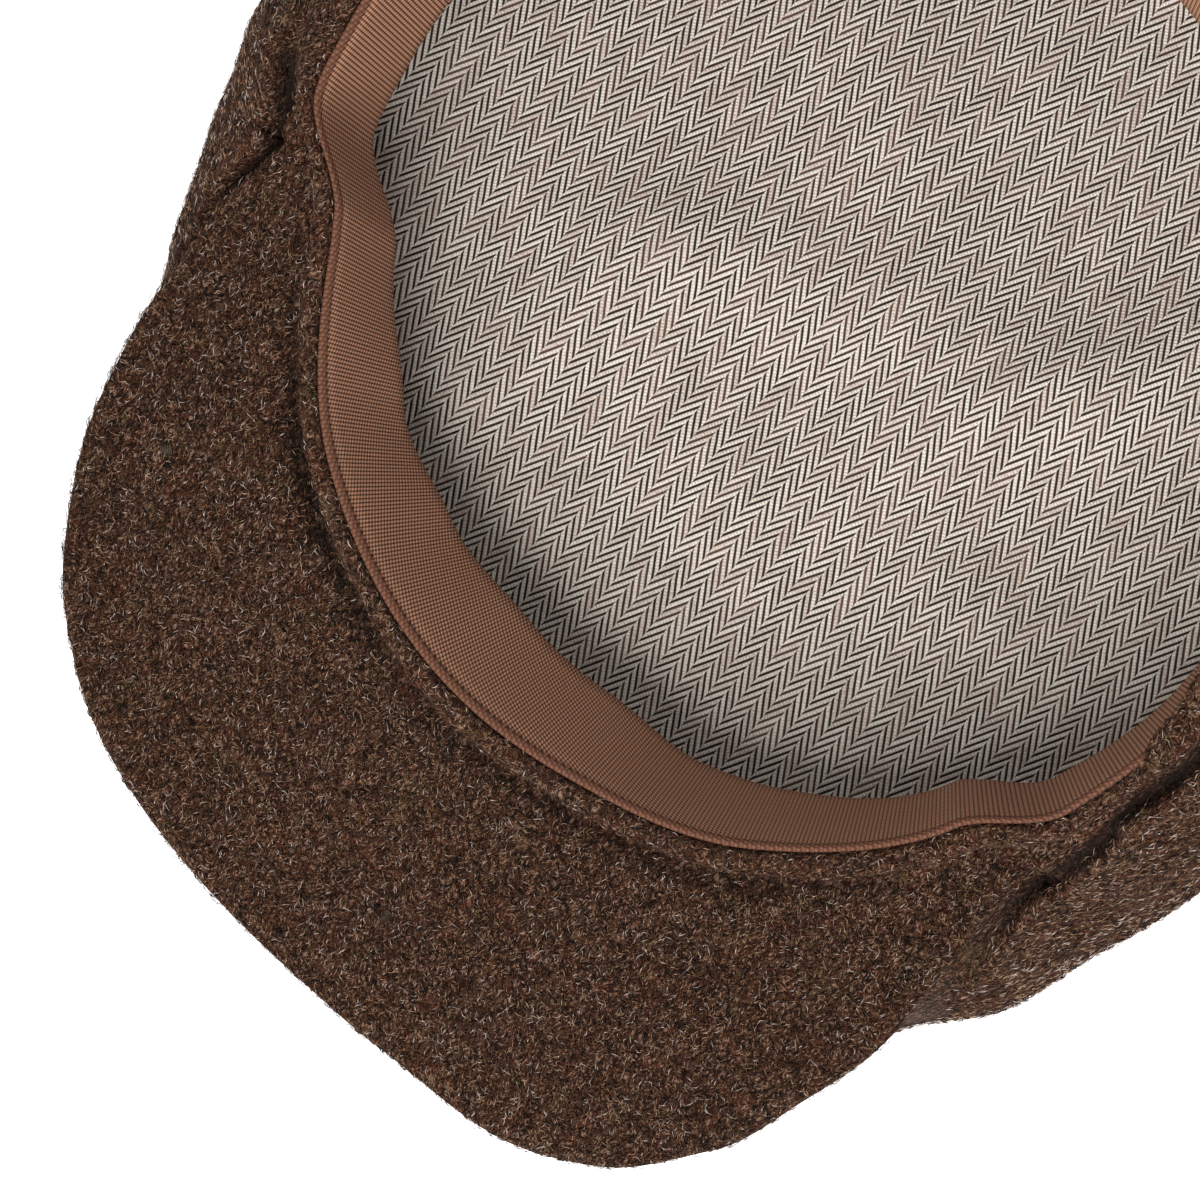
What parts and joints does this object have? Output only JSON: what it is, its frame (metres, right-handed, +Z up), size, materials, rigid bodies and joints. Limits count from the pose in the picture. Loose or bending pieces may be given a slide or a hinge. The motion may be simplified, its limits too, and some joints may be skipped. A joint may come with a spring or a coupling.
{
  "type": "flat cap",
  "caption": "Soft wool flat cap lying on its crown, opening up, with a stiff curved peak, a ribbed sweatband and a woven lining.",
  "frame": {"origin": "on the floor, under the middle of the cap's bounding box, with the cap lying on its crown", "axes": "+Z up out of the opening, -Y towards the front of the peak, +X across the opening"},
  "size_m": [0.238, 0.2586, 0.0819],
  "materials": {
    "wool": "milled brown melange wool with short loose fibres",
    "band": "brown ribbed woven band",
    "lining": "brown and cream herringbone weave"
  },
  "bodies": {
    "root": {"crown": "wool", "peak": "wool", "rolled_edge": "wool", "sweatband": "band", "lining": "lining"}
  },
  "joints": []
}
